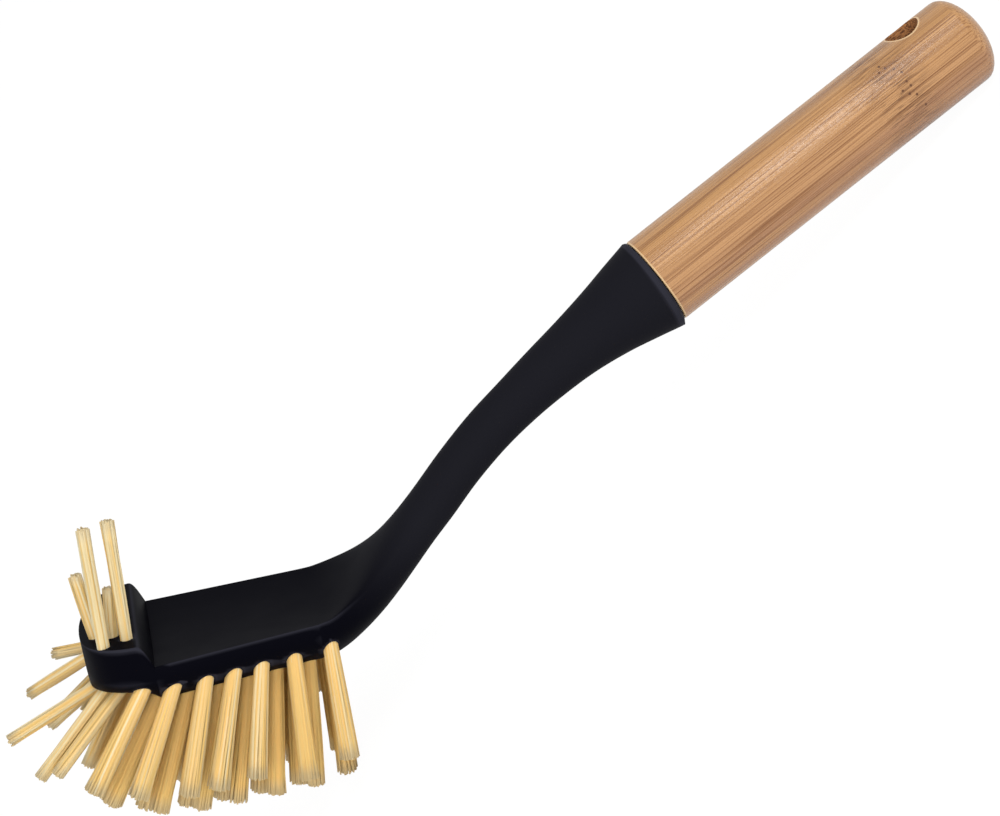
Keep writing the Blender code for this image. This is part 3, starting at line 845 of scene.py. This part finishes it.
# Painted light: the inner tufts' amber is lighter than the edge rows' straw.
amber_painted_light_tone = add_node(
    bristle, "ShaderNodeMapRange", {"Value": tone, "From Min": 0.5, "From Max": 1.0}
).outputs["Result"]
straw = add_node(
    bristle,
    "ShaderNodeMix",
    {"Factor": straw_tone, "A": linear(BRISTLE_PALE), "B": linear(BRISTLE_STRAW)},
    data_type="RGBA",
).outputs["Result"]
shade = add_node(
    bristle,
    "ShaderNodeMix",
    {"Factor": amber_painted_light_tone, "A": straw, "B": linear(BRISTLE_AMBER_PAINTED_LIGHT)},
    data_type="RGBA",
).outputs["Result"]
tip_tone = add_node(
    bristle,
    "ShaderNodeMapRange",
    {"Value": height, "From Min": GREY_START, "From Max": 1.0, "To Max": GREY_SHARE},
    interpolation_type="SMOOTHSTEP",
).outputs["Result"]
fibre_colour = add_node(
    bristle,
    "ShaderNodeMix",
    {"Factor": tip_tone, "A": shade, "B": linear(BRISTLE_GREY)},
    data_type="RGBA",
).outputs["Result"]
bristle.node_tree.links.new(fibre_colour, shader.inputs["Base Color"])
shader.inputs["Roughness"].default_value = 0.5
shader.inputs["IOR"].default_value = 1.5
shader.inputs["Specular IOR Level"].default_value = 0.3
through = add_node(bristle, "ShaderNodeBsdfTranslucent", {"Color": fibre_colour}).outputs["BSDF"]
fibre_look = add_node(
    bristle, "ShaderNodeMixShader", {0: THROUGH_SHARE, 1: shader.outputs["BSDF"], 2: through}
).outputs["Shader"]
output = bristle.node_tree.nodes["Material Output"]
bristle.node_tree.links.new(fibre_look, output.inputs["Surface"])

# One strand of unit length and radius, which every fibre is bent and stretched from.
strand = bmesh.new()
strand.verts.layers.float.new("tone")
strand.verts.layers.float.new("height")
bmesh.ops.create_cone(
    strand,
    cap_ends=True,
    segments=FIBRE_SIDES,
    radius1=1.0,
    radius2=FIBRE_TIP_SHARE,
    depth=1.0,
    matrix=Matrix.Translation((0.0, 0.0, 0.5)),
)
long_edges = [edge for edge in strand.edges if abs(edge.verts[0].co.z - edge.verts[1].co.z) > 0.5]
bmesh.ops.subdivide_edges(strand, edges=long_edges, cuts=FIBRE_BENDS)
strand_mesh = bpy.data.meshes.new("strand")
strand.to_mesh(strand_mesh)
strand.free()
strand_points = len(strand_mesh.vertices)

# The fibres stand evenly spread over the bundle, each a golden turn on from the last. One that
# would reach below the floor is cut shorter. The bundle is shaded as one round body, with a
# little of each fibre's own roundness.
chance = random.Random(CHANCE_SEED)
for name, (foot, direction, reach) in tufts.items():
    turn = direction.to_track_quat("Z", "Y").to_matrix()
    bundle_radius = hole_radius(name) * BUNDLE_SHARE
    fibre_count, spread_share = FIBRES_PER_TUFT, TIP_SPREAD_SHARE
    # The inner tufts take the lighter amber: painted light where they lie in the shade of the
    # others.
    tuft_tone = OUTER_TONE if "outer" in name else INNER_PAINTED_LIGHT_TONE
    if hole_radius(name) == NOSE_HOLE_RADIUS:
        fibre_count, spread_share = FIBRES_PER_NOSE_TUFT, NOSE_SPREAD_SHARE
        tuft_tone = NOSE_TONE
    normals = []
    bm = bmesh.new()
    for i in range(fibre_count):
        bm.from_mesh(strand_mesh)
        bm.verts.ensure_lookup_table()
        tone_layer = bm.verts.layers.float["tone"]
        height_layer = bm.verts.layers.float["height"]
        out = bundle_radius * math.sqrt((i + 0.5) / fibre_count)
        place = Vector((math.cos(i * GOLDEN_TURN), math.sin(i * GOLDEN_TURN), 0.0)) * out
        bow = Vector((chance.gauss(0.0, BOW), chance.gauss(0.0, BOW), 0.0))
        stray = Vector((chance.gauss(0.0, STRAY), chance.gauss(0.0, STRAY), 0.0))
        stray *= spread_share - 1.0
        length = reach - abs(chance.gauss(0.0, TRIM))
        fibre_tone = min(max(chance.gauss(tuft_tone, TONE_SPREAD), 0.0), 1.0)
        tip = foot + turn @ (place * spread_share + stray + Vector((0.0, 0.0, length)))
        if tip.z < 0.0:
            length *= foot.z / (foot.z - tip.z)
        for vertex in bm.verts[-strand_points:]:
            up = vertex.co.z
            side = Vector((vertex.co.x, vertex.co.y, 0.0)) * FIBRE_RADIUS
            drift = place * (1.0 + (spread_share - 1.0) * up) + stray * up ** 2
            drift += bow * math.sin(math.pi * up)
            vertex.co = foot + turn @ (side + drift + Vector((0.0, 0.0, length * up)))
            vertex[tone_layer] = fibre_tone
            vertex[height_layer] = up
            facing = side.normalized() * OWN_ROUND_SHARE + place.normalized()
            if up > TIP_START:
                facing.z = TIP_FACING
            normals.append((turn @ facing).normalized())
    piece = new_piece(name.replace("tuft", "bristles"), bm, bristle)
    piece.data.normals_split_custom_set_from_vertices(normals)
    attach(piece, "root")
    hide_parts(name)

# Floor
# Plain white sheet under the brush. To the rays that show it, most of its white is a glow, and
# the rest keeps the brush's soft shadow.
FLOOR_REACH = 8.0
GLOW = 1.03
GLOW_SHARE = 0.93
SHEET_WHITE = "#F2F2F2"


def shown_rays(material):
    """1 for rays that show a background: the camera's, and those in a gloss or a clear body."""
    rays = add_node(material, "ShaderNodeLightPath").outputs
    shown = rays["Is Camera Ray"]
    for ray in ("Is Glossy Ray", "Is Transmission Ray"):
        shown = add_node(
            material, "ShaderNodeMath", {0: shown, 1: rays[ray]}, operation="ADD"
        ).outputs["Value"]
    return shown


bm = bmesh.new()
bmesh.ops.create_grid(bm, x_segments=1, y_segments=1, size=FLOOR_REACH)
white_sheet, shader = new_material("white_sheet")
shader.inputs["Base Color"].default_value = linear(SHEET_WHITE)
shader.inputs["Roughness"].default_value = 0.9
shader.inputs["Specular IOR Level"].default_value = 0.0
glow = add_node(white_sheet, "ShaderNodeEmission", {"Strength": GLOW}).outputs["Emission"]
share = add_node(
    white_sheet, "ShaderNodeMath", {0: shown_rays(white_sheet), 1: GLOW_SHARE}, operation="MULTIPLY"
).outputs["Value"]
sheet_look = add_node(
    white_sheet, "ShaderNodeMixShader", {0: share, 1: shader.outputs["BSDF"], 2: glow}
).outputs["Shader"]
output = white_sheet.node_tree.nodes["Material Output"]
white_sheet.node_tree.links.new(sheet_look, output.inputs["Surface"])
floor = new_piece("floor", bm, white_sheet)

# Soft studio light: a panel high on the camera's right, whose reflection makes the streak
# along the bamboo, a broad one behind the camera that makes no reflection, and an even room
# that lights the brush as grey and shows as white.
ROOM_GREY = (0.78, 0.78, 0.78, 1.0)
ROOM_WHITE = (1.0, 1.0, 1.0, 1.0)
world = bpy.data.worlds.new("pale_room")
world.use_nodes = True
bpy.context.scene.world = world
background = world.node_tree.nodes["Background"]
background.inputs["Strength"].default_value = 1.0
room = add_node(
    world,
    "ShaderNodeMix",
    {"Factor": shown_rays(world), "A": ROOM_GREY, "B": ROOM_WHITE},
    data_type="RGBA",
).outputs["Result"]
world.node_tree.links.new(room, background.inputs["Color"])
for name, place, size, watts, mirrored in (
    ("key_panel", (0.43, -0.49, 0.73), 0.28, 3.4, True),
    ("front_panel", (-0.10, -0.90, 0.20), 0.90, 6.1, False),
):
    panel = bpy.data.lights.new(name, "AREA")
    panel.size = size
    panel.energy = watts
    light = bpy.data.objects.new(name, panel)
    light.location = place
    light.visible_glossy = mirrored
    light.rotation_euler = (-Vector(place)).to_track_quat("-Z", "Y").to_euler()
    bpy.context.scene.collection.objects.link(light)

bpy.context.scene.view_settings.view_transform = "Standard"
